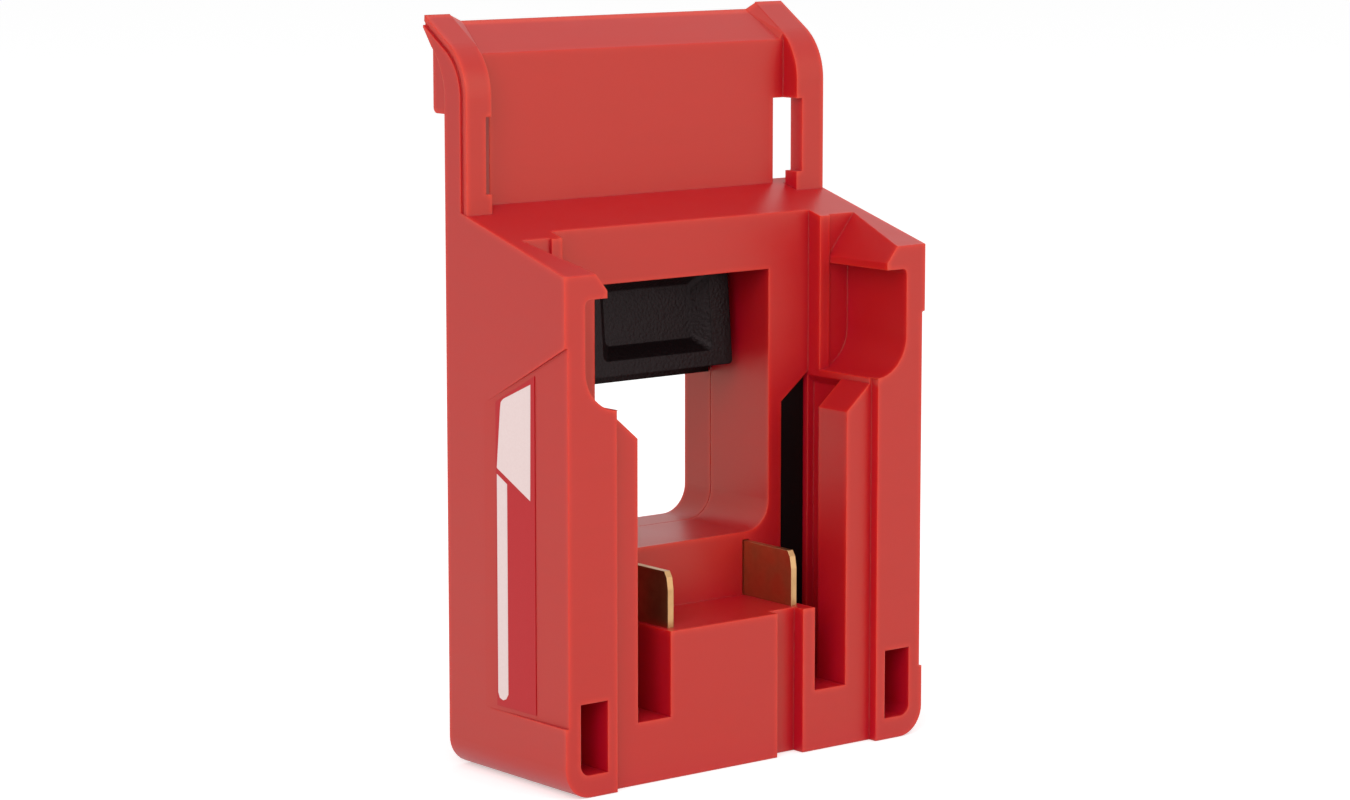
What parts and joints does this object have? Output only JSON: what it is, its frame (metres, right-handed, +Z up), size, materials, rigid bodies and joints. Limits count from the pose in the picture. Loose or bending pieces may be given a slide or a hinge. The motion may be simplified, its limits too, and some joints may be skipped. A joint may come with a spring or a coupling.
{
  "type": "battery adapter",
  "caption": "Slide-on battery adapter for a cordless tool: red housing with a pack bay, blade terminals, a sprung rear latch, a hanging hook and a rear boss with machine sockets.",
  "frame": {"origin": "middle of the bounding box's base", "axes": "+X along the front to the right as seen from the pack side, +Y from the pack side to the machine side, +Z up against the pack's insertion"},
  "size_m": [0.078, 0.041, 0.1262],
  "materials": {
    "red_plastic": "satin moulded, slightly translucent",
    "black_plastic": "fine textured",
    "brass_sheet": "stamped, lightly tarnished",
    "screw_steel": "zinc plated",
    "spring_steel": "drawn wire",
    "label_film": "printed film"
  },
  "bodies": {
    "adapter": {"front_housing": "red_plastic", "rear_cover": "red_plastic", "latch_spring_left": "spring_steel", "latch_spring_right": "spring_steel", "terminal_carrier": "black_plastic", "positive_blade": "brass_sheet", "negative_blade": "brass_sheet", "positive_strap": "brass_sheet", "negative_strap": "brass_sheet", "positive_contact": "brass_sheet", "negative_contact": "brass_sheet", "socket_block": "black_plastic", "cover_screws": "screw_steel", "carrier_screws": "screw_steel", "terminal_screws": "screw_steel", "label": "label_film"},
    "latch": {"latch": "black_plastic"}
  },
  "joints": [
    {"name": "latch_slide", "type": "slide", "parent": "adapter", "child": "latch", "axis": [0, 0, -1], "range_m": [0, 0.004], "stiffness_N_per_m": 1000, "springref_m": -0.003, "deforming": ["latch_spring_left", "latch_spring_right"]}
  ]
}
